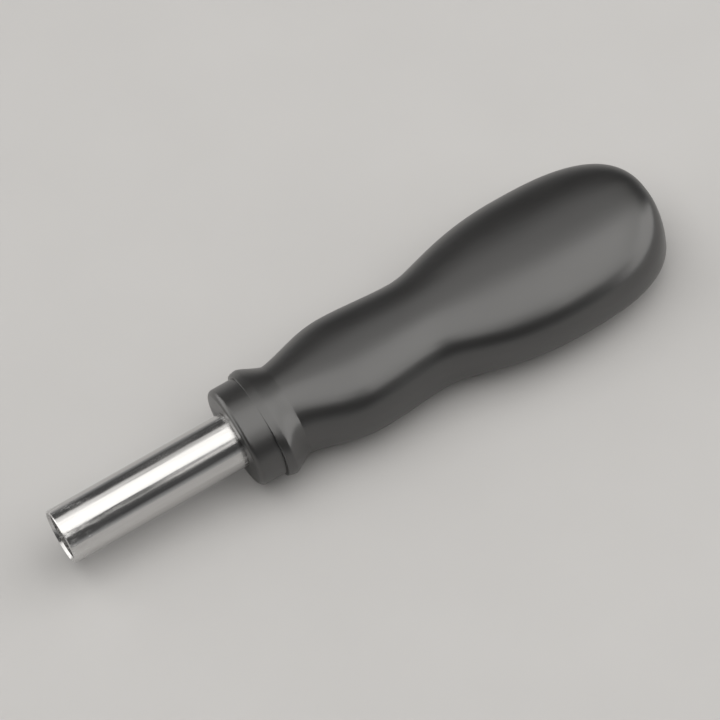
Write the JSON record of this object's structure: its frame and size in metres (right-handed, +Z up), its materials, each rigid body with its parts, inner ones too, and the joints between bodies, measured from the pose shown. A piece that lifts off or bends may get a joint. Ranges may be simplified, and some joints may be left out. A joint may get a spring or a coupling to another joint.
{
  "type": "bit driver screwdriver",
  "caption": "Hand driver with a contoured flat-oval black handle, finger flange and collar, and a polished steel tube with a hexagon bit socket in its open mouth.",
  "frame": {"origin": "centre of the open mouth of the tube, on the tool axis", "axes": "+X along the tool axis from the mouth to the end of the handle, +Y across the wide way of the handle, +Z up through its thin way when it lies flat"},
  "size_m": [0.1158, 0.0296, 0.0166],
  "materials": {
    "polished_steel": "polished stainless steel, fine scratches",
    "turned_steel": "turned and broached steel",
    "spring_steel": "drawn spring wire",
    "magnet_plating": "nickel plated",
    "bar_steel": "drawn hexagon bar",
    "hard_plastic": "satin moulded",
    "soft_grip": "satin soft moulding"
  },
  "bodies": {
    "driver": {"outer_tube": "polished_steel", "socket_bush": "turned_steel", "magnet": "magnet_plating", "drive_bar": "bar_steel", "handle_core": "hard_plastic", "ferrule": "hard_plastic", "grip": "soft_grip"},
    "ring": {"retaining_ring": "spring_steel"}
  },
  "joints": [
    {"name": "ring_turn", "type": "hinge", "parent": "driver", "child": "ring", "pos_m": [0.0063, 0, 0], "axis": [1, 0, 0], "continuous": true}
  ]
}
